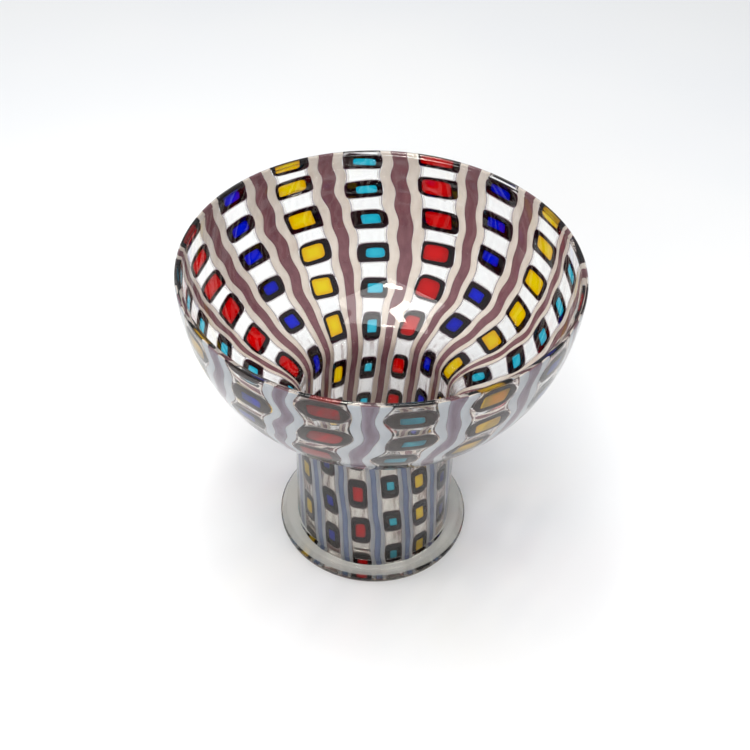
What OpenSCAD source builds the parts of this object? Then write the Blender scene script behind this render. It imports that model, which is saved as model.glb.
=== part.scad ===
// Footed mosaic bowl in blown glass.
// A clear bubble is the inside of the vessel, with its lip, its foot and its floor. A mosaic skin is fused
// round it: 16 columns of murrine tiles, parted by 16 flat canes. A clear disc is cast round its base.
// Heights are measured down the outside of the wall from the lip, as stations, in millimetres.
// A depth is measured from the outside of the wall towards the inside.

/* [Vessel] */
// Outside diameter at the lip
rim_d = 218; // [190:1:250]
// Height from the table to the top of the lip
total_h = 200; // [180:1:220]
// Drop from the lip to the underside of the bowl, where it turns into the foot
bowl_drop = 91; // [85:1:96]
// Outside diameter of the hollow foot
foot_d = 95; // [86:1:104]
// Thickness of the whole wall
wall = 3.4; // [2.8:0.1:4.4]
// Thickness of the mosaic skin on the outside of the wall
skin = 1.4; // [0.8:0.1:2]

/* [Foot disc] */
// Diameter of the clear disc
disc_d = 116; // [112:1:126]
// Thickness of the clear disc
disc_h = 10.5; // [9:0.5:12]
// Width of the shoulder over which the top of the disc falls towards its edge
disc_shoulder = 5.5; // [4:0.5:8]
// Height of the shoulder, and radius of the edge round the underside
disc_edge = 4.5; // [1.5:0.5:4.5]
// Diameter of the polished pontil mark in the underside
pontil_d = 36; // [24:1:44]
// Depth of the polished pontil mark
pontil_depth = 0.8; // [0.4:0.1:1]

/* [Mosaic] */
// Angle of the first column, seen from above and counted from +X
first_column_deg = 188; // [180:1:202]
// Share of a column's pitch that a murrine tile takes
tile_width = 0.56; // [0.5:0.01:0.6]
// Share of a tile's pitch down the column that the tile takes
tile_height = 0.57; // [0.45:0.01:0.62]
// Share of the tile's width that its coloured core takes
core_width = 0.66; // [0.4:0.01:0.75]
// Share of the tile's height that its coloured core takes
core_height = 0.62; // [0.4:0.01:0.75]
// Share of a cane's width that its amethyst core takes
cane_core = 0.42; // [0.35:0.01:0.55]
// Distance from one tile to the next at the lip
rim_pitch = 20; // [17:0.5:22]
// How strongly the tiles lengthen where the vessel is narrower
stretch = 0.53; // [0.4:0.01:0.65]
// Station of the first tile in each column, in the order of the columns
first_tile = [6, 3, 7, 2.5, 7, 1.5, 10, 3, -2, 6, 12, 9, 10, 9, -1, 12];

/* [Hidden] */
$fn = 96;
COLOURS = ["turquoise", "red", "blue", "yellow"];
GLASS = [[0.25, 0.72, 0.85], [0.8, 0.05, 0.08], [0.04, 0.08, 0.75], [0.97, 0.78, 0.05]];
CLEAR = [0.86, 0.92, 0.92, 0.45];
AMETHYST = [0.38, 0.24, 0.33];
DARK_AMETHYST = [0.13, 0.05, 0.08];
LATTIMO = [0.86, 0.87, 0.86];

columns = 16;
repeats = columns / len(COLOURS);
rim_r = rim_d / 2;
foot_r = foot_d / 2;
seat_z = 1.6;           // the disc's recess, in which the bubble and the mosaic stand
floor_z = disc_h + 1;   // top of the floor inside the foot
floor_fillet = 8;
lip_run = 2.6;          // clear lip above the mosaic
shortest_tile = 2;      // a tile that the lip or the seat cuts shorter than this is left out
overshoot = 0.3;        // how far a core's cutter passes through the skin

// The outside of the wall: a quarter ellipse for the bowl, a bend, and the straight foot.
bowl_centre_r = foot_r - 7.5;
bowl_turn = 72;         // degrees of the ellipse before the bend starts
bend_drop = 9;          // how far the bend reaches below the corner of bowl and foot
bowl_steps = 24;
bend_steps = 6;
foot_steps = 12;
function on_bowl(turn) = [
    bowl_centre_r + (rim_r - bowl_centre_r) * cos(turn),
    total_h - bowl_drop * sin(turn)
];
bend_start = on_bowl(bowl_turn);
bend_slope = bowl_drop * cos(bowl_turn) / ((rim_r - bowl_centre_r) * sin(bowl_turn));
corner = [foot_r, bend_start[1] - bend_slope * (bend_start[0] - foot_r)];
bend_end = corner - [0, bend_drop];
function on_bend(t) = (1 - t) * (1 - t) * bend_start + 2 * t * (1 - t) * corner + t * t * bend_end;
outline = concat(
    [for (i = [0 : bowl_steps]) on_bowl(bowl_turn * i / bowl_steps)],
    [for (i = [1 : bend_steps]) on_bend(i / bend_steps)],
    [for (i = [1 : foot_steps]) bend_end + (seat_z - bend_end[1]) * [0, i / foot_steps]]
);
last = len(outline) - 1;

// Stations of the outline's points, and the unit normal that points into the wall at each.
function run_to(i) = i == 0 ? 0 : run_to(i - 1) + norm(outline[i] - outline[i - 1]);
stations = [for (i = [0 : last]) run_to(i)];
foot_end = stations[last];
function inward(i) =
    let (along = outline[min(i + 1, last)] - outline[max(i - 1, 0)])
    [along[1], -along[0]] / norm(along);
radii = [for (i = [0 : last]) [stations[i], outline[i][0]]];
heights = [for (i = [0 : last]) [stations[i], outline[i][1]]];
inward_r = [for (i = [0 : last]) [stations[i], i == 0 ? -1 : inward(i)[0]]];
inward_z = [for (i = [0 : last]) [stations[i], i == 0 ? 0 : inward(i)[1]]];

// The point of the wall at a station and a depth, as [radius, height].
function at(station, depth) = [
    lookup(station, radii) + depth * lookup(station, inward_r),
    lookup(station, heights) + depth * lookup(station, inward_z)
];
// The outline's own stations that lie between two others, with those two.
function between(top, bottom) = concat(
    [top], [for (s = stations) if (s > top + 0.05 && s < bottom - 0.05) s], [bottom]
);
function backwards(list) = [for (i = [len(list) - 1 : -1 : 0]) list[i]];
function band(top, bottom, outer, inner) =
    let (run = between(top, bottom))
    concat([for (s = run) at(s, outer)], [for (s = backwards(run)) at(s, inner)]);

// A piece of the wall between two stations, two angles and two depths.
module patch(top, bottom, centre_deg, width_deg, outer = 0, inner = skin)
    rotate([0, 0, centre_deg - width_deg / 2])
        rotate_extrude(angle = width_deg)
            polygon(band(top, bottom, outer, inner));

// Where the columns, the canes and the tiles lie.
column_deg = 360 / columns;
tile_deg = column_deg * tile_width;
cane_deg = column_deg - tile_deg;
function column_at(k) = first_column_deg - k * column_deg;
function cane_at(k) = column_at(k) - column_deg / 2;
function pitch(station) = rim_pitch * pow(rim_r / lookup(station, radii), stretch);
function tiles_from(station) =
    station > foot_end ? [] : concat([station], tiles_from(station + pitch(station)));
// Each tile of column k as [top, bottom], cut off at the lip and at the seat.
function tiles(k) = [
    for (s = tiles_from(first_tile[k]))
        let (
            half = pitch(s) * tile_height / 2,
            top = max(s - half, lip_run),
            bottom = min(s + half, foot_end)
        )
        if (bottom - top > shortest_tile) [top, bottom]
];
// The clear spaces of column k: above, between and below its tiles.
function spaces(k) =
    let (
        found = tiles(k),
        tops = concat([lip_run], [for (t = found) t[1]]),
        bottoms = concat([for (t = found) t[0]], [foot_end])
    )
    [for (i = [0 : len(tops) - 1]) if (bottoms[i] - tops[i] > 0.05) [tops[i], bottoms[i]]];
function core_of(tile) =
    let (middle = (tile[0] + tile[1]) / 2, half = (tile[1] - tile[0]) * core_height / 2)
    [middle - half, middle + half];

// Clear bubble: lip, inside of the bowl, inside of the foot and floor, in one piece.
lip_r = wall / 2;
lip_steps = 12;
fillet_steps = 6;
inner_foot_r = foot_r - wall;
module clear_bubble()
    color(CLEAR)
        rotate_extrude()
            polygon(concat(
                [at(lip_run, 0)],
                [for (i = [0 : lip_steps]) [
                    rim_r - lip_r + lip_r * cos(180 * i / lip_steps),
                    total_h - lip_r + lip_r * sin(180 * i / lip_steps)
                ]],
                [for (s = stations)
                    if (s > lip_run && lookup(s, heights) > floor_z + floor_fillet + 1) at(s, wall)],
                [for (i = [0 : fillet_steps]) [
                    inner_foot_r - floor_fillet + floor_fillet * cos(90 * i / fillet_steps),
                    floor_z + floor_fillet - floor_fillet * sin(90 * i / fillet_steps)
                ]],
                [[0, floor_z], [0, seat_z]],
                [for (s = backwards(between(lip_run, foot_end))) at(s, skin)]
            ));

// Clear disc under and around the foot, with a falling shoulder and a polished pontil mark.
edge_steps = 8;
pontil_r = pontil_d / 2;
pontil_steps = 8;
pontil_sphere = (pontil_r * pontil_r + pontil_depth * pontil_depth) / (2 * pontil_depth);
pontil_turn = asin(pontil_r / pontil_sphere);
module foot_disc()
    color(CLEAR)
        rotate_extrude()
            polygon(concat(
                [for (i = [0 : pontil_steps])
                    let (turn = pontil_turn * i / pontil_steps)
                    [pontil_sphere * sin(turn), pontil_depth - pontil_sphere * (1 - cos(turn))]],
                [for (i = [0 : edge_steps]) [
                    disc_d / 2 - disc_edge + disc_edge * sin(90 * i / edge_steps),
                    disc_edge - disc_edge * cos(90 * i / edge_steps)
                ]],
                [for (i = [0 : edge_steps]) [
                    disc_d / 2 - disc_shoulder + disc_shoulder * cos(90 * i / edge_steps),
                    disc_h - disc_edge + disc_edge * sin(90 * i / edge_steps)
                ]],
                [[foot_r, disc_h], [foot_r, seat_z], [0, seat_z]]
            ));

// Amethyst core of the cane on the far side of column k.
module amethyst_cane(k)
    color(AMETHYST)
        patch(lip_run, foot_end, cane_at(k), cane_deg * cane_core);

// The two white stripes of each cane in one repeat of the four colours.
module lattimo_stripes(repeat) {
    stripe_deg = cane_deg * (1 - cane_core) / 2;
    offset_deg = (cane_deg - stripe_deg) / 2;
    color(LATTIMO)
        for (i = [0 : len(COLOURS) - 1], side = [-1, 1])
            patch(lip_run, foot_end, cane_at(repeat * len(COLOURS) + i) + side * offset_deg, stripe_deg);
}

// Dark jackets of the tiles in column k, each open through the skin for its core.
module tile_jackets(k)
    color(DARK_AMETHYST)
        for (tile = tiles(k))
            difference() {
                patch(tile[0], tile[1], column_at(k), tile_deg);
                patch(
                    core_of(tile)[0], core_of(tile)[1], column_at(k), tile_deg * core_width,
                    -overshoot, skin + overshoot
                );
            }

// Coloured cores of the tiles in column k.
module tile_cores(k)
    color(GLASS[k % len(COLOURS)])
        for (tile = tiles(k))
            patch(core_of(tile)[0], core_of(tile)[1], column_at(k), tile_deg * core_width);

// Clear pieces between the tiles in one repeat of the four colours.
module clear_spacers(repeat)
    color(CLEAR)
        for (i = [0 : len(COLOURS) - 1])
            let (k = repeat * len(COLOURS) + i)
            for (space = spaces(k))
                patch(space[0], space[1], column_at(k), tile_deg);

function two_digits(k) = str(k < 9 ? "0" : "", k + 1);
function column_name(k) = str(COLOURS[k % len(COLOURS)], "_column_", two_digits(k));
function jackets_name(k) = str(column_name(k), "_jackets");
function cores_name(k) = str(column_name(k), "_cores");
function cane_name(k) = str("amethyst_cane_", two_digits(k));
function stripes_name(repeat) = str("lattimo_stripes_", repeat + 1);
function spacers_name(repeat) = str("clear_spacers_", repeat + 1);

clear_bubble();
foot_disc();
for (k = [0 : columns - 1]) {
    tile_jackets(k);
    tile_cores(k);
    amethyst_cane(k);
}
for (r = [0 : repeats - 1]) {
    lattimo_stripes(r);
    clear_spacers(r);
}
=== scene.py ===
"""Looks of the footed mosaic bowl: a clear wall and a clear foot disc, with tiles and canes in the wall.

Lengths are in millimetres until a mesh is made. Places down the wall are stations: the run from the lip
along the outside, as in the CAD model.
"""

import math

import bpy
import numpy as np
from mathutils import Matrix, Vector


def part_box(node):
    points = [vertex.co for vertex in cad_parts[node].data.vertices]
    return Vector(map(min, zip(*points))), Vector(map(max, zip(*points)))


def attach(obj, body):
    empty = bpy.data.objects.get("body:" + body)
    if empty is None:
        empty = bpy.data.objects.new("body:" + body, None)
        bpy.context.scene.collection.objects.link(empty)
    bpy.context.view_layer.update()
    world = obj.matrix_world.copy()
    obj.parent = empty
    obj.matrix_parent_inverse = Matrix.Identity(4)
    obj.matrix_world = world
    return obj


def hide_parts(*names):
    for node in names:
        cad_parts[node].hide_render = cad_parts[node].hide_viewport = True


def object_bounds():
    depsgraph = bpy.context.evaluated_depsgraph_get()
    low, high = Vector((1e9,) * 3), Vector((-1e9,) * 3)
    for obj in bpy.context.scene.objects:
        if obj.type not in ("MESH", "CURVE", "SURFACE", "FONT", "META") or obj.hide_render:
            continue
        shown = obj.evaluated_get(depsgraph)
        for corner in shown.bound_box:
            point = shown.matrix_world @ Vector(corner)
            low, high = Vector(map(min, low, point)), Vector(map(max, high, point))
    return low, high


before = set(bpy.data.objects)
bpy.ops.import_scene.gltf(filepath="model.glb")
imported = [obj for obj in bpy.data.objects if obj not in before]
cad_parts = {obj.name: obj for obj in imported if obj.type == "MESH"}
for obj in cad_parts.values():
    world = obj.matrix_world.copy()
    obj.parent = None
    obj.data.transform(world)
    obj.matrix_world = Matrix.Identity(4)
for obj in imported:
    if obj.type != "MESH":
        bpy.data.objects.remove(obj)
cad_low, cad_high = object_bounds()
scene = bpy.context.scene

MM = 0.001
TAU = 2 * math.pi

# ---------------------------------------------------------------- the vessel's outline, as in the CAD model

HEIGHT = cad_high.z / MM
RIM_R = cad_high.x / MM
disc_low, disc_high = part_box("foot_disc")
DISC_R = disc_high.x / MM
DISC_H = disc_high.z / MM
bubble_low, bubble_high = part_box("clear_bubble")
SEAT_Z = bubble_low.z / MM
BOWL_DROP = 91
FOOT_R = 47.5
WALL = 3.4
SKIN = 1.4
BOWL_CENTRE_R = FOOT_R - 7.5
BOWL_TURN = math.radians(72)
BEND_DROP = 9
FLOOR_Z = DISC_H + 1
FLOOR_FILLET = 8
DISC_SHOULDER = 5.5
DISC_EDGE = 4.5
PONTIL_R = 18
PONTIL_DEPTH = 0.8
DISH = 0.12


def outline():
    """The outside of the wall from the lip to the seat, as rows of radius and height."""
    turn = np.linspace(0, BOWL_TURN, 240)
    reach = RIM_R - BOWL_CENTRE_R
    bowl = np.column_stack([BOWL_CENTRE_R + reach * np.cos(turn), HEIGHT - BOWL_DROP * np.sin(turn)])
    start = bowl[-1]
    slope = BOWL_DROP * math.cos(BOWL_TURN) / (reach * math.sin(BOWL_TURN))
    corner = np.array([FOOT_R, start[1] - slope * (start[0] - FOOT_R)])
    end = corner - [0, BEND_DROP]
    t = np.linspace(0, 1, 60)[1:, None]
    bend = (1 - t) ** 2 * start + 2 * t * (1 - t) * corner + t**2 * end
    foot = end + np.linspace(0, 1, 160)[1:, None] * [0, SEAT_Z - end[1]]
    return np.vstack([bowl, bend, foot])


OUTLINE = outline()
STATIONS = np.concatenate([[0], np.cumsum(np.linalg.norm(np.diff(OUTLINE, axis=0), axis=1))])
FOOT_END = STATIONS[-1]
along = np.gradient(OUTLINE, axis=0)
along[0] = [0, -1]
along /= np.linalg.norm(along, axis=1)[:, None]
INWARD = np.column_stack([along[:, 1], -along[:, 0]])


def radius_at(station):
    return np.interp(station, STATIONS, OUTLINE[:, 0])


def profile(station, depth):
    """Radius and height of the wall at stations and depths."""
    r = radius_at(station) + depth * np.interp(station, STATIONS, INWARD[:, 0])
    z = np.interp(station, STATIONS, OUTLINE[:, 1]) + depth * np.interp(station, STATIONS, INWARD[:, 1])
    return r, z


def blown(x, y, z):
    """The vessel as blown by hand: never wider or taller than the CAD model, and true at the foot."""
    angle = np.arctan2(y, x)
    rise = np.clip((z - 100) / (HEIGHT - 100), 0, 1)
    squeeze = 1 - rise * (0.0016 * (1 + np.cos(2 * angle + 0.7)) + 0.0008 * (1 + np.cos(3 * angle + 2.1)))
    drop = rise**4 * 0.25 * (1 - np.cos(2 * angle + 1.9))
    return np.column_stack([x * squeeze, y * squeeze, z - drop])


def on_wall(angle_deg, station, depth):
    """Points of the wall, in millimetres."""
    r, z = profile(station, depth)
    a = np.radians(angle_deg)
    return blown(r * np.cos(a), r * np.sin(a), z)


# ---------------------------------------------------------------- meshes


def new_piece(name, points, faces, materials, replaces, face_materials=None, attributes=None):
    """A mesh from points in millimetres. It rides on the one body and stands for its CAD nodes."""
    mesh = bpy.data.meshes.new(name)
    in_metres = [tuple(p) for p in np.asarray(points) * MM]
    mesh.from_pydata(in_metres, [], [tuple(int(i) for i in f) for f in faces])
    for m in materials:
        mesh.materials.append(m)
    mesh.polygons.foreach_set("use_smooth", np.ones(len(mesh.polygons), bool))
    if face_materials is not None:
        mesh.polygons.foreach_set("material_index", np.asarray(face_materials, np.int32))
    for key, values in (attributes or {}).items():
        layer = mesh.attributes.new(key, "FLOAT", "POINT")
        layer.data.foreach_set("value", np.asarray(values, np.float32))
    mesh.update()
    obj = bpy.data.objects.new(name, mesh)
    scene.collection.objects.link(obj)
    if replaces is not None:
        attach(obj, "root")
        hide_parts(*replaces)
    return obj


def facing_out(points, faces):
    """The faces of a closed solid, turned so that their normals point out of it."""
    fans = np.array([(f[0], f[i], f[i + 1]) for f in faces for i in range(1, len(f) - 1)])
    a, b, c = (np.asarray(points)[fans[:, i]] for i in range(3))
    outward = np.einsum("ij,ij->", a, np.cross(b, c)) > 0
    return faces if outward else [tuple(reversed(f)) for f in faces]


class Solids:
    """Gathers closed solids, each a loop of rings, into one mesh."""

    def __init__(self):
        self.points, self.faces, self.values, self.count = [], [], {}, 0

    def add(self, points, faces, **values):
        self.points.append(points)
        self.faces += [tuple(i + self.count for i in f) for f in facing_out(points, faces)]
        for key, v in values.items():
            self.values.setdefault(key, []).append(v)
        self.count += len(points)

    def piece(self, name, material, replaces, slot):
        values = {key: np.concatenate(v) for key, v in self.values.items()}
        points = np.vstack(self.points)
        return new_piece(name, points, self.faces, [material], replaces, attributes=values)


def ring_faces(around, across, closed_across):
    """Quads between rings: ring i, place j has index i * around + j."""
    faces = []
    for i in range(across if closed_across else across - 1):
        a, b = i * around, (i + 1) % across * around
        faces += [(a + j, a + (j + 1) % around, b + (j + 1) % around, b + j) for j in range(around)]
    return faces


def caps(around, rings, first, last):
    """Fans from the points first and last to the first and the last of the rings."""
    end = (rings - 1) * around
    start_fan = [(first, (j + 1) % around, j) for j in range(around)]
    return start_fan + [(last, end + j, end + (j + 1) % around) for j in range(around)]


def lathe(rows, around):
    """Points and faces of a closed solid of revolution. The first and the last row lie on the axis."""
    angle = np.arange(around) * TAU / around
    inner = np.asarray(rows[1:-1], float)
    x = np.outer(inner[:, 0], np.cos(angle)).ravel()
    y = np.outer(inner[:, 0], np.sin(angle)).ravel()
    z = np.repeat(inner[:, 1], around)
    points = np.vstack([blown(x, y, z), [[0, 0, rows[0][1]], [0, 0, rows[-1][1]]]])
    faces = ring_faces(around, len(inner), False)
    faces += caps(around, len(inner), len(points) - 2, len(points) - 1)
    return points, facing_out(points, faces)


def arc(centre, radius, start_deg, end_deg, steps):
    a = np.radians(np.linspace(start_deg, end_deg, steps))
    return [(centre[0] + radius * math.cos(t), centre[1] + radius * math.sin(t)) for t in a]


# ---------------------------------------------------------------- materials


def srgb(r, g, b):
    """An 8-bit colour as linear RGBA."""
    shares = [c / 255 for c in (r, g, b)]
    linear = [c / 12.92 if c < 0.0404 else ((c + 0.055) / 1.055) ** 2.4 for c in shares]
    return (*linear, 1)


def scaled(colour, share):
    """The colour made darker."""
    return tuple(c * share for c in colour[:3]) + (1,)


class Tree:
    """A short way to write a material's nodes."""

    def __init__(self, name):
        self.material = bpy.data.materials.new(name)
        self.material.use_nodes = True
        self.tree = self.material.node_tree
        self.tree.nodes.clear()
        self.out = self.node("OutputMaterial")

    def node(self, kind, **inputs):
        n = self.tree.nodes.new("ShaderNode" + kind)
        for key, value in inputs.items():
            self.set(n, key.replace("_", " "), value)
        return n

    def set(self, n, key, value):
        socket = n.inputs[key]
        if isinstance(value, bpy.types.NodeSocket):
            self.tree.links.new(value, socket)
        else:
            socket.default_value = value

    def mix_shader(self, share, a, b):
        n = self.tree.nodes.new("ShaderNodeMixShader")
        for socket, value in zip(n.inputs, (share, a, b)):
            if isinstance(value, bpy.types.NodeSocket):
                self.tree.links.new(value, socket)
            else:
                socket.default_value = value
        return n.outputs[0]

    def noise(self, scale, detail=3.0, stretch=(1, 1, 1)):
        place = self.node("TexCoord").outputs["Object"]
        if stretch != (1, 1, 1):
            mapping = self.node("Mapping", Vector=place)
            mapping.inputs["Scale"].default_value = stretch
            place = mapping.outputs[0]
        return self.node("TexNoise", Vector=place, Scale=scale, Detail=detail).outputs["Fac"]

    def ramp(self, factor, *stops):
        n = self.node("ValToRGB", Fac=factor)
        elements = n.color_ramp.elements
        elements[0].position, elements[0].color = stops[0]
        elements[1].position, elements[1].color = stops[-1]
        for position, color in stops[1:-1]:
            elements.new(position).color = color
        return n.outputs["Color"]

    def blend(self, share, a, b):
        n = self.tree.nodes.new("ShaderNodeMix")
        n.data_type = "RGBA"
        for key, value in ((0, share), (6, a), (7, b)):
            if isinstance(value, bpy.types.NodeSocket):
                self.tree.links.new(value, n.inputs[key])
            else:
                n.inputs[key].default_value = value
        return n.outputs[2]

    def math(self, operation, a, b=0.0, clamp=False):
        n = self.tree.nodes.new("ShaderNodeMath")
        n.operation = operation
        n.use_clamp = clamp
        for socket, value in zip(n.inputs, (a, b)):
            if isinstance(value, bpy.types.NodeSocket):
                self.tree.links.new(value, socket)
            else:
                socket.default_value = value
        return n.outputs[0]

    def attribute(self, name):
        n = self.tree.nodes.new("ShaderNodeAttribute")
        n.attribute_name = name
        return n.outputs["Fac"]

    def done(self, surface):
        self.tree.links.new(surface, self.out.inputs["Surface"])
        return self.material


def clear_glass(name, tint, lets_through, bump=0.12):
    """Clear glass with faint waves. Lamps and soft light go straight through it."""
    t = Tree(name)
    waves = t.noise(55, 2.0)
    normal = t.node("Bump", Strength=bump, Distance=0.0004, Height=waves).outputs[0]
    body = t.blend(t.noise(25, 2.0), tint, tuple(c**0.5 for c in tint[:3]) + (1,))
    glass = t.node("BsdfGlass", Color=body, Roughness=0.0, IOR=1.5, Normal=normal).outputs[0]
    straight = t.node("BsdfTransparent", Color=lets_through).outputs[0]
    path = t.node("LightPath")
    soft = t.mix_shader(path.outputs["Is Diffuse Ray"], glass, straight)
    return t.done(t.mix_shader(path.outputs["Is Shadow Ray"], soft, straight))


def contact(name):
    """Where two pieces of clear glass are fused, so that nothing shows between them."""
    t = Tree(name)
    tint = t.ramp(t.noise(30), (0.3, (0.99, 1, 0.99, 1)), (0.7, (1, 1, 1, 1)))
    return t.done(t.node("BsdfTransparent", Color=tint).outputs[0])


def scatter(t, back, through, share=0.5):
    """Milky glass: back is what it scatters towards the light, through what it passes on."""
    diffuse = t.node("BsdfDiffuse", Color=back).outputs[0]
    translucent = t.node("BsdfTranslucent", Color=through).outputs[0]
    return t.mix_shader(share, diffuse, translucent)


def core_glass(name, thin, thick, body, painted_haze, deep):
    """Transparent coloured glass with streaks.

    thin and thick are what one face lets through, and body is what it scatters. The last two are what its
    outer face scatters in the bowl and in the foot: painted reflection haze and shade, darker still in the
    foot.
    """
    t = Tree(name)
    streaks = t.noise(420, 4.0)
    from_edge = t.math("MULTIPLY", t.attribute("edge"), 0.8)
    depth = t.math("ADD", from_edge, t.math("MULTIPLY", t.attribute("tone"), 0.3))
    streaked = t.math("SUBTRACT", t.math("MULTIPLY", streaks, 0.7), 0.28)
    share = t.math("ADD", depth, streaked, clamp=True)
    straight = t.node("BsdfTransparent", Color=t.blend(share, thin, thick)).outputs[0]
    outside = t.attribute("outside")
    # The outer face scatters far more, in greyer and darker colours: painted reflection haze and shade of
    # the view from outside. In the foot it is darker still: painted shade.
    scatter_and_painted_haze = t.math("ADD", 0.04, t.math("MULTIPLY", outside, 0.46))
    deep = t.blend(t.attribute("edge"), deep, scaled(deep, 0.45))
    skin = t.blend(t.attribute("edge"), painted_haze, scaled(painted_haze, 0.62))
    back = t.blend(outside, body, t.blend(t.attribute("low"), skin, deep))
    return t.done(t.mix_shader(scatter_and_painted_haze, straight, scatter(t, back, body)))


def jacket_glass(name):
    """Amethyst glass so deep that only its thin edge lets colour through."""
    t = Tree(name)
    share = t.math("MULTIPLY", t.attribute("edge"), t.math("ADD", t.noise(300, 3.0), 0.5), clamp=True)
    through = t.blend(share, (0.06, 0.02, 0.03, 1), (0.62, 0.36, 0.47, 1))
    straight = t.node("BsdfTransparent", Color=through).outputs[0]
    # The outer face scatters more, in streaked grey-brown lighter than the near-black inner face: the
    # streaks are the glass's own, the lighter grey is painted reflection haze. In the foot it is painted
    # darker, as shade.
    streaks = t.ramp(t.noise(500, 4.0), (0.3, srgb(26, 16, 14)), (0.7, srgb(56, 44, 40)))
    skin = t.blend(t.attribute("edge"), streaks, srgb(60, 52, 52))
    foot = t.ramp(t.noise(300, 3.0), (0.35, srgb(12, 9, 9)), (0.7, srgb(32, 26, 25)))
    skin = t.blend(t.attribute("low"), skin, foot)
    dark = t.blend(t.attribute("outside"), srgb(28, 14, 18), skin)
    share = t.math("ADD", 0.4, t.math("MULTIPLY", t.attribute("outside"), 0.35))
    return t.done(t.mix_shader(share, straight, t.node("BsdfDiffuse", Color=dark).outputs[0]))


def amethyst_glass(name):
    """The core of a cane: plum where light comes through, its outer face painted greyer as reflection haze
    and shade, and bluish in the foot.
    """
    t = Tree(name)
    streaks = t.noise(260, 3.0, stretch=(1, 1, 0.25))
    straight = t.node("BsdfTransparent", Color=(0.42, 0.22, 0.3, 1)).outputs[0]
    edge = t.attribute("edge")
    inner = t.ramp(streaks, (0.3, srgb(150, 108, 114)), (0.7, srgb(174, 130, 134)))
    inner = t.blend(edge, inner, srgb(166, 124, 128))
    # Painted reflection haze and shade: the outer face scatters a greyer lavender than the inner face, and
    # more of it.
    outer = t.ramp(streaks, (0.3, srgb(114, 104, 120)), (0.7, srgb(146, 138, 154)))
    outer = t.blend(edge, outer, srgb(164, 166, 180))
    low = t.ramp(streaks, (0.3, srgb(92, 118, 150)), (0.7, srgb(116, 140, 170)))
    outside = t.attribute("outside")
    back = t.blend(outside, inner, t.blend(t.attribute("low"), outer, low))
    share = t.math("ADD", 0.6, t.math("MULTIPLY", outside, 0.3))
    return t.done(t.mix_shader(share, straight, scatter(t, back, inner, 0.45)))


def lattimo_glass(name):
    """Milk-white opaline glass, painted by face as lit and shaded copies: warm on the inner face, cool and
    bluish on the outer face, and darker in the foot as shade.
    """
    t = Tree(name)
    streaks = t.noise(200, 3.0, stretch=(1, 1, 0.3))
    # Painted light and shade: a warm backlit look for the inner face, a cool front-lit look for the outer
    # face, darker in the foot.
    warm = t.ramp(streaks, (0.3, srgb(242, 227, 213)), (0.7, srgb(254, 242, 230)))
    cool = t.ramp(streaks, (0.3, srgb(150, 170, 188)), (0.7, srgb(178, 194, 208)))
    low = t.ramp(streaks, (0.3, srgb(130, 146, 160)), (0.7, srgb(166, 178, 190)))
    back = t.blend(t.attribute("outside"), warm, t.blend(t.attribute("low"), cool, low))
    straight = t.node("BsdfTransparent", Color=(0.86, 0.8, 0.76, 1)).outputs[0]
    bowl_through = t.blend(t.attribute("outside"), warm, srgb(226, 228, 232))
    through = t.blend(t.attribute("low"), bowl_through, srgb(196, 180, 168))
    return t.done(t.mix_shader(0.86, straight, scatter(t, back, through)))


def window_glass(name):
    """Clear glass of the murrine sheet: clean in the bowl; in the foot streaked, with painted shade in dark
    pinkish streaks and, on its outer face, painted shade and reflections in beige streaks.
    """
    t = Tree(name)
    low = t.attribute("low")
    streaks = t.noise(330, 4.0, stretch=(1, 1, 0.12))
    # Painted shade: in the foot the streaks let through less, the darkest in pinkish grey.
    stops = [(0.34, (0.7, 0.62, 0.62, 1)), (0.43, (0.96, 0.94, 0.93, 1)), (0.56, (1, 0.99, 0.99, 1))]
    foot = t.ramp(streaks, *stops)
    bowl = t.ramp(streaks, (0.3, (0.98, 0.975, 0.975, 1)), (0.6, (1, 1, 1, 1)))
    clean = t.blend(low, bowl, foot)
    to_border = t.attribute("edge")
    outlined = t.ramp(to_border, (0.92, (0, 0, 0, 1)), (0.97, (0.6, 0.6, 0.6, 1)))
    tint = t.blend(outlined, clean, (0.32, 0.25, 0.28, 1))
    straight = t.node("BsdfTransparent", Color=tint).outputs[0]
    # Painted shade and reflections: on the outer face in the foot, beige streaks from dark to pale.
    in_foot = t.math("MULTIPLY", low, t.attribute("outside"))
    beige = t.ramp(streaks, (0.38, srgb(38, 32, 28)), (0.52, srgb(98, 88, 80)), (0.64, srgb(214, 208, 200)))
    back = t.blend(in_foot, srgb(238, 234, 230), beige)
    white = scatter(t, back, srgb(240, 236, 232))
    # A painted glint: pale scatter in a thin band just inside each window's border, standing in for the
    # highlights along the tiles' edges.
    glint = t.ramp(to_border, (0.8, (0, 0, 0, 1)), (0.88, (0.5, 0.5, 0.5, 1)), (0.93, (0, 0, 0, 1)))
    share = t.math("MAXIMUM", t.math("MULTIPLY", in_foot, 0.28), glint)
    return t.done(t.mix_shader(share, straight, white))


CLEAR = clear_glass("clear_glass", (0.985, 0.992, 0.988, 1), (0.985, 0.985, 0.98, 1))
DISC = clear_glass("disc_glass", (0.955, 0.95, 0.93, 1), (0.84, 0.84, 0.82, 1), bump=0.15)
CONTACT = contact("fused_contact")
JACKET = jacket_glass("dark_amethyst_glass")
AMETHYST = amethyst_glass("amethyst_glass")
LATTIMO = lattimo_glass("lattimo_glass")
WINDOW = window_glass("clear_murrine_glass")
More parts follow.
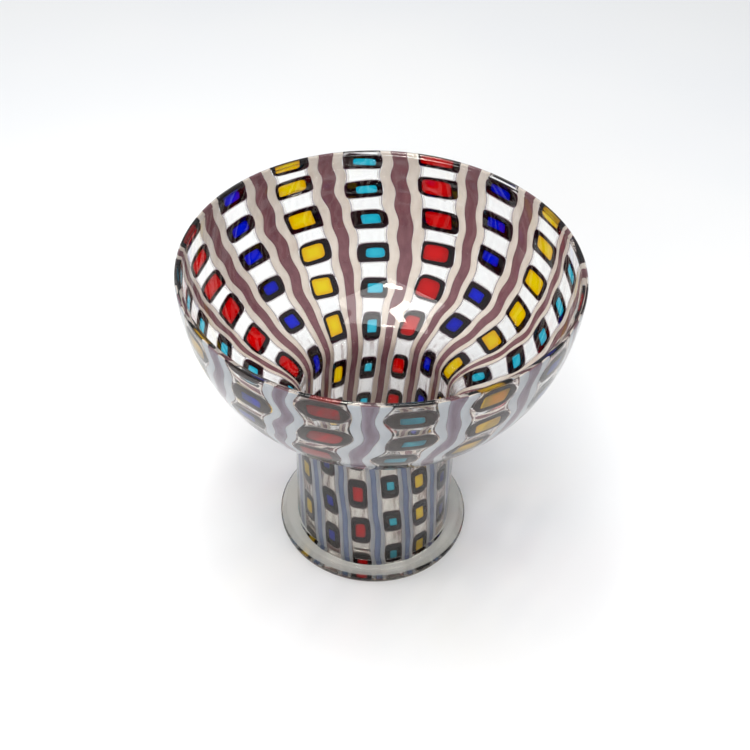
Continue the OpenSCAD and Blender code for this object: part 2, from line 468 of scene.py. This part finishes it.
# For each colour the last two colours are painted: the outer face's reflection haze and shade in the bowl,
# and its darker shade in the foot.
CORES = {
    "turquoise": core_glass(
        "turquoise_glass",
        thin=(0.28, 0.91, 1.0, 1),
        thick=(0.08, 0.68, 0.82, 1),
        body=srgb(50, 190, 215),
        painted_haze=srgb(56, 118, 128),
        deep=srgb(24, 100, 118),
    ),
    "red": core_glass(
        "red_glass",
        thin=(0.98, 0.04, 0.05, 1),
        thick=(0.66, 0.0, 0.02, 1),
        body=srgb(205, 25, 28),
        painted_haze=srgb(112, 42, 42),
        deep=srgb(136, 32, 30),
    ),
    "blue": core_glass(
        "blue_glass",
        thin=(0.01, 0.13, 0.96, 1),
        thick=(0.0, 0.03, 0.56, 1),
        body=srgb(20, 50, 205),
        painted_haze=srgb(66, 74, 130),
        deep=srgb(30, 36, 96),
    ),
    "yellow": core_glass(
        "yellow_glass",
        thin=(1.0, 0.95, 0.04, 1),
        thick=(0.94, 0.64, 0.0, 1),
        body=srgb(245, 205, 15),
        painted_haze=srgb(164, 148, 72),
        deep=srgb(200, 172, 40),
    ),
}

# ---------------------------------------------------------------- the clear wall and the foot disc

AROUND = 300
SEED_AROUND = 16
SEED_RINGS = 8
# The large air bubble: its angle, station and depth, and its half sizes across, down and into the wall.
LARGE_SEED = (120.5, 21.3, 2.4, (4.4, 1.9, 0.85))
SMALL_SEEDS = 26


def smooth(x):
    x = np.clip(x, 0, 1)
    return x * x * (3 - 2 * x)


def dishing(angle_deg, station):
    """How far the outer face sinks over the clear glass between the tiles, in millimetres."""
    deepest = DISH * smooth((profile(station, 0)[1] - FLOOR_Z) / 4) * smooth((station - 2) / 3)
    depth = np.zeros(len(angle_deg))
    for column in columns:
        off = (angle_deg - column.middle(station) + 180) % 360 - 180
        across = smooth((1 - np.abs(off) / column.half_deg) / 0.4)
        depth += deepest * across * smooth((-column.bulge(station) - 0.05) / 0.7)
    return depth


def ellipsoid(middle, half_sizes, axes):
    """Points and faces of a small closed ellipsoid, facing inwards as an air bubble in glass does."""
    turn = np.arange(SEED_AROUND) * TAU / SEED_AROUND
    local = []
    for a in math.pi * np.arange(1, SEED_RINGS + 1) / (SEED_RINGS + 1):
        local += [(math.sin(a) * math.cos(t), math.sin(a) * math.sin(t), math.cos(a)) for t in turn]
    local = np.array(local + [(0, 0, 1), (0, 0, -1)]) * half_sizes
    faces = ring_faces(SEED_AROUND, SEED_RINGS, False)
    faces += caps(SEED_AROUND, SEED_RINGS, len(local) - 2, len(local) - 1)
    outward = facing_out(local, faces)
    return middle + local @ axes, [tuple(reversed(f)) for f in outward]


def seeds():
    """Air bubbles in the clear inner layer: one large, under a yellow tile, and a scatter of small ones."""
    rng = np.random.default_rng(7)
    chosen = [LARGE_SEED]
    for angle_deg, station in rng.uniform((0, 8), (360, 180), (SMALL_SEEDS, 2)):
        depth, size = rng.uniform(1.9, 2.9), rng.uniform(0.1, 0.24)
        chosen.append((angle_deg, station, depth, (size * 2.2, size, size * 0.85)))
    for angle_deg, station, depth, half_sizes in chosen:
        places = [(angle_deg, station), (angle_deg + 0.5, station), (angle_deg, station + 1)]
        middle, beside, below = on_wall(*np.transpose(places), np.full(3, depth))
        across, down = (v / np.linalg.norm(v) for v in (beside - middle, below - middle))
        axes = np.array([across, down, np.cross(across, down)])
        yield ellipsoid(middle, half_sizes, axes)


def clear_wall():
    """The lip, the inside and the outside of the vessel as one closed clear shell, with its seeds."""
    lip_r = WALL / 2
    down = np.concatenate([np.linspace(lip_r, 130, 92), np.linspace(131, FOOT_END, 50)])
    inner_foot_r = FOOT_R - WALL
    fillet_top = FLOOR_Z + FLOOR_FILLET
    inside = [s for s in down[::-1] if profile(s, WALL)[1] > fillet_top + 0.5]
    rows = [(0, FLOOR_Z)]
    rows += [(r, FLOOR_Z) for r in np.linspace(0, inner_foot_r - FLOOR_FILLET, 8)[1:]]
    rows += arc((inner_foot_r - FLOOR_FILLET, fillet_top), FLOOR_FILLET, -90, 0, 9)[1:]
    rows += [profile(s, WALL) for s in inside]
    rows += arc((RIM_R - lip_r, HEIGHT - lip_r), lip_r, 180, 0, 15)
    first_outer = len(rows) - 1
    rows += [profile(s, 0) for s in down[1:]]
    rows += [(r, SEAT_Z) for r in np.linspace(FOOT_R, 0, 8)[1:]]
    points, faces = lathe(rows, AROUND)
    angle_deg = np.arange(AROUND) * 360 / AROUND
    for i, station in enumerate(down[1:], first_outer):
        sunk = on_wall(angle_deg, np.full(AROUND, station), dishing(angle_deg, station))
        points[i * AROUND : (i + 1) * AROUND] = sunk
    fused = [all(points[i, 2] < DISC_H + 0.01 for i in f) for f in faces]
    for seed_points, seed_faces in seeds():
        faces += [tuple(i + len(points) for i in f) for f in seed_faces]
        points = np.vstack([points, seed_points])
        fused += [False] * len(seed_faces)
    glass, node = [CLEAR, CONTACT], "clear_bubble"
    new_piece("clear_glass_wall", points, faces, glass, [node], face_materials=fused)


def foot_disc():
    """The clear disc under the foot, with an eased shoulder and a pontil mark in its underside."""
    sphere = (PONTIL_R**2 + PONTIL_DEPTH**2) / (2 * PONTIL_DEPTH)
    turn = math.degrees(math.asin(PONTIL_R / sphere))
    rows = [(0, SEAT_Z)]
    rows += [(r, SEAT_Z) for r in np.linspace(0, FOOT_R, 8)[1:]]
    rows += [(FOOT_R, DISC_H)]
    rows += [(FOOT_R + 1.2, DISC_H - 0.3)]
    # The shoulder is an eased bevel, as shares of its width and height.
    shoulder = [(0, 1), (0.12, 0.985), (0.24, 0.94), (0.34, 0.87), (0.42, 0.78), (0.74, 0.4), (0.86, 0.25)]
    shoulder += [(0.93, 0.14), (0.98, 0.05), (1, 0)]
    rows += [(DISC_R + DISC_SHOULDER * (x - 1), DISC_H + DISC_EDGE * (y - 1)) for x, y in shoulder]
    rows += arc((DISC_R - DISC_EDGE, DISC_EDGE), DISC_EDGE, 0, -90, 10)
    rows += [(r, 0) for r in np.linspace(DISC_R - DISC_EDGE, PONTIL_R, 8)[1:]]
    rows += arc((0, PONTIL_DEPTH - sphere), sphere, 90 - turn, 90, 9)[1:]
    points, faces = lathe(rows, AROUND)
    r = np.hypot(points[:, 0], points[:, 1])
    fused = [all(points[i, 2] > SEAT_Z - 0.01 and r[i] < FOOT_R + 0.01 for i in f) for f in faces]
    glass, node = [DISC, CONTACT], "foot_disc"
    new_piece("clear_foot_disc", points, faces, glass, [node], face_materials=fused)


# ---------------------------------------------------------------- the pattern

COLOURS = ["turquoise", "red", "blue", "yellow"]
COLUMNS = 16
COLUMN_DEG = 360 / COLUMNS
FIRST_COLUMN_DEG = 188
RIM_PITCH = 20
STRETCH = 0.53
FIRST_TILE = [6, 3, 7, 2.5, 7, 1.5, 10, 3, -2, 6, 12, 9, 10, 9, -1, 12]
# How much wider than even a column's tiles are spaced.
SPACING = [1.0, 0.99, 1.03, 1.03, 0.95, 0.98, 1.03, 1.03, 1.0, 1.0, 1.02, 0.98, 0.97, 1.02, 1.0, 1.0]
# Columns in which the first two tiles are crowded at the lip, and by how much.
FIRST_GAP = {3: 0.76}
# How far each column leans from its even place, in degrees.
COLUMN_SHIFT = [-0.5, 2.8, 1.9, 1.2, 0.3, -2.4, -2.3, -1.8, 2.3, 1.5, 2, 2, 2.5, 2, 2, 1.5]
# How the whole pattern turns on its way down, as station and degrees.
TURN = [(0, 0), (22, -0.9), (45, -3.4), (66, -5.4), (87, -5.2), (112, -3)]
TURN += [(130, -1), (145, 0.4), (165, 2.4), (191, 5), (222, 7)]
# For each colour: a tile's half width in degrees, its share of the pitch, and its core's shares of it across
# and down.
TILES = {
    "turquoise": (6.0, 0.53, 0.56, 0.48),
    "red": (6.5, 0.62, 0.74, 0.7),
    "blue": (5.8, 0.57, 0.57, 0.56),
    "yellow": (6.1, 0.62, 0.71, 0.7),
}
# How far each column's cores sit off the middle of their jackets, as a share of the half width.
CORE_LEAN = [0, 0.03, 0.02, 0.11, -0.1, 0.12, 0.1, 0.05, -0.06, -0.02, 0.04, -0.03, 0.05, 0, -0.04, 0.06]
MOSAIC_TOP = 1.1
MOSAIC_END = FOOT_END - 0.6
POINTS_AROUND = 40
# From this column on, the tiles are drawn out to points and the canes sway more.
FIRST_POINTED_COLUMN = 9

dense = np.linspace(0, FOOT_END, 600)
smooth_turn = np.interp(dense, *zip(*TURN))
for _ in range(3):
    smooth_turn = np.convolve(np.pad(smooth_turn, 20, mode="edge"), np.ones(41) / 41, "valid")


def pitch_at(station):
    return RIM_PITCH * (RIM_R / radius_at(station)) ** STRETCH


def lowness(station):
    """0 in the bowl, 1 in the foot."""
    return np.clip((np.asarray(station) - 100) / 30, 0, 1)


class Column:
    """One column of tiles: where its tiles are, and where its middle and its edges run."""

    def __init__(self, number):
        self.number = number
        self.colour = COLOURS[number % 4]
        self.name = f"{self.colour}_column_{number + 1:02d}"
        self.half_deg, self.tall, self.core_across, self.core_down = TILES[self.colour]
        self.pointed = number >= FIRST_POINTED_COLUMN
        self.wave_deg = 0.8 if self.pointed else 0.5
        self.sway_deg = 1.1 if self.pointed else 0.2
        if self.pointed:
            self.half_deg += 0.35
            self.core_across *= 0.82
            self.core_down *= 0.86
        self.core_lean = CORE_LEAN[number]
        rng = self.rng = np.random.default_rng(100 + number)
        self.middle_deg = FIRST_COLUMN_DEG - number * COLUMN_DEG + COLUMN_SHIFT[number]
        stations = [FIRST_TILE[number] - RIM_PITCH, FIRST_TILE[number]]
        gap = SPACING[number] * FIRST_GAP.get(number, 1)
        while stations[-1] < FOOT_END + 40:
            stations.append(stations[-1] + float(pitch_at(stations[-1] + 10)) * gap)
            gap = SPACING[number]
        self.tiles = np.array(stations) + rng.uniform(-0.8, 0.8, len(stations))
        self.sway = rng.uniform(0, TAU)

    def middle(self, s):
        calm = 1 - 0.75 * lowness(s)
        sway = 0.3 * np.sin(s / 24 + self.sway) + calm * self.sway_deg * np.sin(s / 6.4 + self.number * 0.8)
        return self.middle_deg + np.interp(s, dense, smooth_turn) + sway

    def bulge(self, s):
        """1 beside a tile and -1 beside the clear glass between two."""
        return np.cos(TAU * np.interp(s, self.tiles, np.arange(len(self.tiles))))

    def edge(self, s, side):
        """side is 1 on the left, where the angle is larger, and -1 on the right."""
        return self.middle(s) + side * self.half_at(s)

    def half_at(self, s):
        return self.half_deg + self.wave_deg * (1 - 0.7 * lowness(s)) * self.bulge(s)


columns = [Column(k) for k in range(COLUMNS)]


def tile_outlines(column, station):
    """The outlines of a tile and of its core as offsets in millimetres, across and down."""
    rng = column.rng
    around = np.arange(POINTS_AROUND) * TAU / POINTS_AROUND
    spot = float(np.clip(station, 0, FOOT_END))
    low = float(lowness(spot))
    half_deg = column.half_deg + column.wave_deg * (1 - 0.7 * low)
    half_wide = math.radians(half_deg) * float(radius_at(spot)) * rng.uniform(0.96, 1.0)
    growth = np.interp(spot, (0, 40, 100, 140), (0.86, 1.02, 1.02, 1.14))
    if column.pointed:
        growth *= 1.22 - 0.2 * low
    half_high = float(pitch_at(spot)) * column.tall / 2 * growth * rng.uniform(0.92, 1.07)

    def hexagon(wide, high):
        tip = rng.uniform(0.55, 0.72)
        corners = [(1, 0), (tip, 1), (-tip, 1), (-1, 0), (-tip, -1), (tip, -1), (1, 0)]
        corners = np.array(corners) * (wide, high)
        run = np.concatenate([[0], np.cumsum(np.linalg.norm(np.diff(corners, axis=0), axis=1))])
        spots = np.arange(POINTS_AROUND) / POINTS_AROUND * run[-1]
        line = np.array([np.interp(spots, run, corners[:, i]) for i in (0, 1)])
        for _ in range(2):
            line = (np.roll(line, 1, 1) + line + np.roll(line, -1, 1)) / 3
        return line[0], line[1]

    def loop(wide, high, power, rough, ears):
        c, s = np.cos(around), np.sin(around)
        swell = np.ones(POINTS_AROUND)
        for n in (2, 3, 4, 5):
            swell += rough / n * rng.uniform(-1, 1) * np.cos(n * around + rng.uniform(0, TAU))
        for corner in range(4):
            off = (around - (corner + 0.5) * TAU / 4 + math.pi) % TAU - math.pi
            swell += ears * rng.uniform(-0.3, 1) * np.exp(-((off / 0.33) ** 2))
        across = wide * np.sign(c) * np.abs(c) ** (2 / power) * swell
        down = high * np.sign(s) * np.abs(s) ** (2 / power) * swell
        return across, down

    tilt = rng.uniform(-0.07, 0.07)
    outer = loop(half_wide, half_high, rng.uniform(3.2, 5.5), 0.06, 0.13 * (1 - low))
    if column.pointed:
        six_sided = hexagon(half_wide * 1.05, half_high)
        outer = tuple(a * low + b * (1 - low) for a, b in zip(outer, six_sided))
    core_wide = half_wide * column.core_across * rng.uniform(0.93, 1.06) * (1 - 0.14 * low)
    core_high = half_high * column.core_down * rng.uniform(0.9, 1.08) * (1 - 0.16 * low)
    inner = loop(core_wide, core_high, rng.uniform(3.5, 6.5), 0.06, 0.05)
    lean = column.core_lean + rng.uniform(-0.05, 0.05)
    inner = (inner[0] + lean * half_wide, inner[1] + rng.uniform(-0.08, 0.08) * half_high)
    return [(a, d + tilt * a) for a, d in (outer, inner)]


def place(column, station, across, down, depth):
    """Offsets from a tile's middle as points on the wall. The tile leans with its column."""
    s = np.clip(station + down, MOSAIC_TOP, MOSAIC_END)
    return on_wall(column.middle(s) + np.degrees(across / radius_at(s)), s, depth)


# A jacket's section from its outside edge to its core: the share of the way in, the depth in the wall, how
# near it is to the thin edge, and whether it is on the outer face.
JACKET_SECTION = [
    (0, 0.5, 1, 1),
    (0.06, 0.2, 0.8, 1),
    (0.25, 0.14, 0.15, 1),
    (0.7, 0.12, 0, 1),
    (0.97, 0.14, 0, 1),
    (1, 0.3, 0, 1),
    (1, 1.2, 0, 0),
    (0.97, 1.34, 0, 0),
    (0.6, 1.36, 0, 0),
    (0.2, 1.34, 0.35, 0),
    (0.06, 1.28, 0.9, 0),
    (0, 1.1, 1, 0),
]
# A core's section from its edge to its middle, on one face: the share of the way out, and the depth.
CORE_SECTION = [(0.995, 0.35), (0.93, 0.16), (0.7, 0.1), (0.35, 0.08)]


def add_jacket(solids, column, station, outer, inner):
    rings = [
        place(column, station, *(o + (i - o) * share for o, i in zip(outer, inner)), depth)
        for share, depth, _, _ in JACKET_SECTION
    ]
    edge, outside = (np.repeat([row[i] for row in JACKET_SECTION], POINTS_AROUND) for i in (2, 3))
    low = np.full(len(edge), lowness(station))
    faces = ring_faces(POINTS_AROUND, len(rings), True)
    solids.add(np.vstack(rings), faces, edge=edge, outside=outside, low=low)


def add_core(solids, column, station, across, down):
    mid_a, mid_d = across.mean(), down.mean()
    section = [(share, depth, 1) for share, depth in reversed(CORE_SECTION)]
    section += [(share, SKIN - depth, 0) for share, depth in CORE_SECTION]
    rings = [
        place(column, station, mid_a + (across - mid_a) * share, mid_d + (down - mid_d) * share, depth)
        for share, depth, _ in section
    ]
    for depth in (0.07, SKIN - 0.07):
        rings.append(place(column, station, np.array([mid_a]), np.array([mid_d]), depth))
    nearness = [max(0.0, share * 1.6 - 0.75) for share, _, _ in section]
    edge = np.append(np.repeat(nearness, POINTS_AROUND), [0, 0])
    outside = np.append(np.repeat([out for _, _, out in section], POINTS_AROUND), [1, 0])
    first = len(section) * POINTS_AROUND
    faces = ring_faces(POINTS_AROUND, len(section), False)
    faces += caps(POINTS_AROUND, len(section), first, first + 1)
    low = np.full(len(edge), lowness(station))
    tone = np.full(len(edge), column.rng.uniform(0, 1) ** 2)
    solids.add(np.vstack(rings), faces, edge=edge, outside=outside, low=low, tone=tone)


ACROSS_STEPS = 13
DOWN_STEPS = 9
WINDOW_GAP = 0.12
# For a window's outer and inner face: the depth at the border, and how far the middle lies from that.
WINDOW_FACES = [(0.45, -0.25), (0.95, 0.25)]


def add_window(solids, column, above, below):
    """The clear glass between two tiles.

    above and below are each a station and an outline, or None at the lip and at the seat.
    """
    share = np.linspace(-1, 1, ACROSS_STEPS)
    wide = column.half_deg / 180 * math.pi

    def border(tile, lower, blank):
        if tile is None:
            return np.full(ACROSS_STEPS, blank)
        station, (across, down) = tile
        half = down >= down[np.argmax(across)] if lower else down <= down[np.argmax(across)]
        order = np.argsort(across[half])
        offsets = share * wide * radius_at(np.clip(station, 0, FOOT_END))
        reach = np.interp(offsets, across[half][order], down[half][order])
        return station + reach + (WINDOW_GAP if lower else -WINDOW_GAP)

    top = np.maximum(border(above, True, MOSAIC_TOP), MOSAIC_TOP)
    bottom = np.minimum(border(below, False, MOSAIC_END), MOSAIC_END)
    if (bottom - top).max() < 1:
        return
    bottom = np.maximum(bottom, top + 0.05)
    t = np.linspace(0, 1, DOWN_STEPS)[:, None]
    s = top + (bottom - top) * t
    angle = column.middle(s) + share * (column.half_at(s) - 0.08)
    to_border = np.maximum(np.abs(share)[None, :], np.abs(2 * t - 1))
    dome = 1 - to_border**4
    points = [on_wall(angle.ravel(), s.ravel(), (base + lift * dome).ravel()) for base, lift in WINDOW_FACES]
    n, m = ACROSS_STEPS, DOWN_STEPS
    grid = []
    for i in range(m - 1):
        grid += [(i * n + j, i * n + j + 1, (i + 1) * n + j + 1, (i + 1) * n + j) for j in range(n - 1)]
    back = [tuple(i + n * m for i in reversed(f)) for f in grid]
    loop = list(range(n)) + [i * n + n - 1 for i in range(1, m)]
    loop += list(range(n * m - 2, n * (m - 1) - 1, -1)) + [i * n for i in range(m - 2, 0, -1)]
    sides = [(b, a, a + n * m, b + n * m) for a, b in zip(loop, loop[1:] + loop[:1])]
    solids.add(
        np.vstack(points),
        grid + back + sides,
        edge=np.tile(to_border.ravel(), 2),
        low=np.tile(lowness(s).ravel(), 2),
        outside=np.repeat([1, 0], n * m),
    )


def add_column(column, windows):
    """A column's jackets and cores as two pieces. Its clear glass is added to windows."""
    jackets, cores = Solids(), Solids()
    above = None
    for station in column.tiles:
        outer, inner = tile_outlines(column, station)
        if station + outer[1].max() < MOSAIC_TOP + 1 or station + outer[1].min() > MOSAIC_END - 2:
            continue
        add_window(windows, column, above, (station, outer))
        above = (station, outer)
        add_jacket(jackets, column, station, outer, inner)
        if station + inner[1].max() > MOSAIC_TOP + 0.6 and station + inner[1].min() < MOSAIC_END - 0.6:
            add_core(cores, column, station, *inner)
    add_window(windows, column, above, None)
    node = f"{column.name}_jackets"
    jackets.piece(f"melted_{node}", JACKET, [node], "dark_amethyst_glass")
    node = f"{column.name}_cores"
    cores.piece(f"melted_{node}", CORES[column.colour], [node], f"{column.colour}_glass")


# ---------------------------------------------------------------- the canes

CANE_STEPS = 260
CORE_FROM, CORE_TO = 0.29, 0.71
GAP_DEG = 0.04
# A ribbon's section: the share of the way across, the depth in the wall, whether it is on the outer face,
# and how near it is to an edge.
RIBBON = [
    (0, 0.45, 1, 1),
    (0.1, 0.2, 1, 0.6),
    (0.35, 0.11, 1, 0),
    (0.65, 0.11, 1, 0),
    (0.9, 0.2, 1, 0.6),
    (1, 0.45, 1, 1),
    (1, 0.95, 0, 1),
    (0.9, 1.24, 0, 0.6),
    (0.65, 1.35, 0, 0),
    (0.35, 1.35, 0, 0),
    (0.1, 1.24, 0, 0.6),
    (0, 0.95, 0, 1),
]
cane_stations = np.linspace(MOSAIC_TOP, MOSAIC_END, CANE_STEPS)


def add_ribbon(solids, left, right):
    """A flat ribbon in the wall between two edges, given as angles at the cane's stations."""
    rings = []
    for share, depth, _, _ in RIBBON:
        rings.append(on_wall(left + (right - left) * share, cane_stations, np.full(CANE_STEPS, depth)))
    outside, edge = (np.repeat([row[i] for row in RIBBON], CANE_STEPS) for i in (2, 3))
    n, m = CANE_STEPS, len(RIBBON)
    faces = []
    for i in range(m):
        a, b = i * n, (i + 1) % m * n
        faces += [(a + j, a + j + 1, b + j + 1, b + j) for j in range(n - 1)]
    faces += [tuple(i * n for i in range(m)), tuple(i * n + n - 1 for i in reversed(range(m)))]
    solids.add(np.vstack(rings), faces, outside=outside, edge=edge, low=np.tile(lowness(cane_stations), m))


def canes():
    """Between every two columns, an amethyst core with a white stripe along each side."""
    stripes = [Solids() for _ in range(4)]
    for k in range(COLUMNS):
        left = columns[k].edge(cane_stations, -1)
        right = columns[(k + 1) % COLUMNS].edge(cane_stations, 1)
        if k == COLUMNS - 1:
            right = right - 360
        rng = np.random.default_rng(300 + k)
        slow, quick = rng.uniform(0, TAU), rng.uniform(0, TAU)
        waver = 0.02 * np.sin(cane_stations / 7 + slow) + 0.015 * np.sin(cane_stations / 3.1 + quick)
        core_left = left + (right - left) * (CORE_FROM + waver)
        core_right = left + (right - left) * (CORE_TO + 0.6 * waver)
        core = Solids()
        add_ribbon(core, core_left - GAP_DEG, core_right + GAP_DEG)
        node = f"amethyst_cane_{k + 1:02d}"
        core.piece(f"melted_{node}", AMETHYST, [node], "amethyst_glass")
        add_ribbon(stripes[k // 4], left - GAP_DEG, core_left + GAP_DEG)
        add_ribbon(stripes[k // 4], core_right - GAP_DEG, right + GAP_DEG)
    for n, solids in enumerate(stripes, 1):
        solids.piece(f"melted_lattimo_stripes_{n}", LATTIMO, [f"lattimo_stripes_{n}"], "lattimo_glass")


clear_wall()
foot_disc()
for quarter in range(4):
    windows = Solids()
    for column in columns[quarter * 4 : quarter * 4 + 4]:
        add_column(column, windows)
    windows.piece(f"clear_windows_{quarter + 1}", WINDOW, [f"clear_spacers_{quarter + 1}"], "clear_glass")
canes()

# ---------------------------------------------------------------- floor, light and camera

# Air between the floor and the disc, so that the disc's underside mirrors as polished glass does.
FLOOR_GAP = 0.1
FLOOR_R = 6000
WARM = (1, 0.985, 0.96)
WARMER = (1, 0.94, 0.86)


def floor_material():
    t = Tree("white_sweep")
    colour = t.ramp(t.noise(3, 2.0), (0.35, srgb(240, 241, 243)), (0.65, srgb(244, 244, 244)))
    return t.done(t.node("BsdfDiffuse", Color=colour).outputs[0])


def floor():
    """A wide white floor, as far as any view sees."""
    angle = np.arange(64) * TAU / 64
    points = np.column_stack([FLOOR_R * np.cos(angle), FLOOR_R * np.sin(angle), np.full(64, -FLOOR_GAP)])
    obj = new_piece("floor", points, [tuple(range(64))], [floor_material()], None)


def softbox(name, location, target, size, power, colour):
    light = bpy.data.lights.new(name, "AREA")
    light.shape = "RECTANGLE"
    light.size, light.size_y = size
    light.energy = power
    light.color = colour
    obj = bpy.data.objects.new(name, light)
    obj.location = location
    obj.rotation_euler = (Vector(target) - Vector(location)).to_track_quat("-Z", "Y").to_euler()
    scene.collection.objects.link(obj)
    return obj


def studio():
    """A pale room: bright overhead, greyer towards the horizon."""
    world = bpy.data.worlds.new("pale_room")
    world.use_nodes = True
    tree = world.node_tree
    background = tree.nodes["Background"]
    direction = tree.nodes.new("ShaderNodeTexCoord").outputs["Generated"]
    split = tree.nodes.new("ShaderNodeSeparateXYZ")
    tree.links.new(direction, split.inputs[0])
    ramp = tree.nodes.new("ShaderNodeValToRGB")
    tree.links.new(split.outputs["Z"], ramp.inputs[0])
    stops = ramp.color_ramp.elements
    stops[0].position, stops[0].color = 0.0, (0.26, 0.27, 0.28, 1)
    stops[1].position, stops[1].color = 0.8, (0.92, 0.95, 0.98, 1)
    stops.new(0.16).color = (0.3, 0.31, 0.32, 1)
    stops.new(0.4).color = (0.66, 0.69, 0.72, 1)
    tree.links.new(ramp.outputs[0], background.inputs["Color"])
    background.inputs["Strength"].default_value = 0.72
    behind = tree.nodes.new("ShaderNodeBackground")
    behind.inputs["Color"].default_value = (0.86, 0.87, 0.88, 1)
    shown = tree.nodes.new("ShaderNodeMixShader")
    tree.links.new(tree.nodes.new("ShaderNodeLightPath").outputs["Is Camera Ray"], shown.inputs[0])
    tree.links.new(background.outputs[0], shown.inputs[1])
    tree.links.new(behind.outputs[0], shown.inputs[2])
    tree.links.new(shown.outputs[0], tree.nodes["World Output"].inputs[0])
    scene.world = world


floor()
studio()
softbox("overhead", (-0.1, -0.1, 1.2), (0, 0, 0), (0.75, 0.75), 6.6, WARM)
front = softbox("front", (-0.45, -1.15, 0.85), (0, 0, 0.05), (0.9, 0.45), 8.5, WARM)
front.visible_glossy = False
softbox("far_strip", (-0.1, 0.06, 0.98), (0, 0, 0.1), (0.32, 0.07), 1.5, WARMER)
softbox("near_strip", (-0.1, -0.34, 0.98), (0, 0, 0.1), (0.16, 0.06), 0.9, WARMER)
scene.view_settings.view_transform = "Standard"
scene.cycles.transparent_max_bounces = 32
scene.cycles.transmission_bounces = 20
scene.cycles.max_bounces = 24

CAMERA_PITCH = 0.7478
CAMERA_YAW = -0.0057
CAMERA_ROLL = 0.0348
CAMERA_LENS = 58.8
# Sideways in metres, and forward and up as shares of the lip's radius.
CAMERA_ASIDE, CAMERA_AHEAD, CAMERA_UP = 0.0014, -4.7098, 5.4564
camera_data = bpy.data.cameras.new("camera")
camera_data.sensor_width = 36
camera_data.lens = CAMERA_LENS
camera = bpy.data.objects.new("camera", camera_data)
level = Vector((math.sin(CAMERA_YAW), math.cos(CAMERA_YAW), 0))
ahead = level * math.cos(CAMERA_PITCH) - Vector((0, 0, math.sin(CAMERA_PITCH)))
right = ahead.cross(Vector((0, 0, 1))).normalized()
up = right.cross(ahead)
rolled_right = math.cos(CAMERA_ROLL) * right + math.sin(CAMERA_ROLL) * up
rolled_up = -math.sin(CAMERA_ROLL) * right + math.cos(CAMERA_ROLL) * up
turn = Matrix((rolled_right, rolled_up, -ahead)).transposed().to_4x4()
place_m = (CAMERA_ASIDE, CAMERA_AHEAD * RIM_R * MM, CAMERA_UP * RIM_R * MM)
camera.matrix_world = Matrix.Translation(place_m) @ turn
scene.collection.objects.link(camera)
scene.camera = camera
